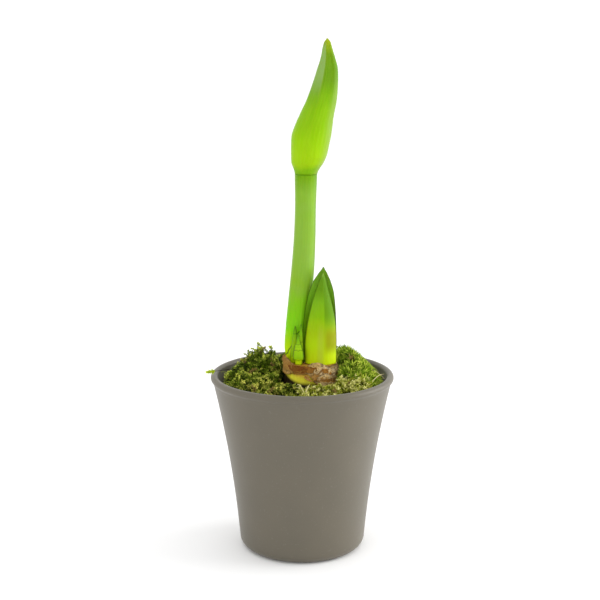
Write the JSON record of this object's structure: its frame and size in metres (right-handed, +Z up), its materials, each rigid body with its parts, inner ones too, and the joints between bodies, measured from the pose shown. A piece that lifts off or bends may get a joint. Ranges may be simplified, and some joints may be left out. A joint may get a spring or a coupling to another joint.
{
  "type": "potted amaryllis",
  "caption": "Forced amaryllis bulb with one closed bud on a tall stem and a short leaf shoot, in a flared ceramic pot dressed with moss.",
  "frame": {"origin": "centre of the pot's foot, on the surface that it stands on", "axes": "+Z up along the pot's axis, -Y towards the front, +X to the right, the side that the bud's tip leans to"},
  "size_m": [0.1436, 0.14, 0.3875],
  "materials": {
    "matte_glaze": "matte taupe glaze",
    "compost": "damp, crumbly",
    "bulb_flesh": "smooth, fleshy",
    "root": "pale, fleshy",
    "dry_skin": "dry, papery, slightly glossy",
    "stem": "smooth, waxy bloom",
    "bud": "smooth, waxy",
    "leaf": "smooth, waxy",
    "moss": "soft, feathery"
  },
  "bodies": {
    "root": {"ceramic_pot": "matte_glaze", "potting_soil": "compost", "bulb": "bulb_flesh", "roots": "root", "dry_skin_left": "dry_skin", "dry_skin_right": "dry_skin", "dry_skin_back": "dry_skin", "flower_stem": "stem", "flower_bud": "bud", "leaf_back": "leaf", "leaf_front": "leaf", "leaf_tip_tall": "leaf", "leaf_tip_middle": "leaf", "leaf_tip_stub": "leaf", "moss_left": "moss", "moss_right": "moss", "moss_back": "moss", "moss_front_left": "moss", "moss_front_right": "moss", "stray_sprig": "moss"}
  },
  "joints": []
}
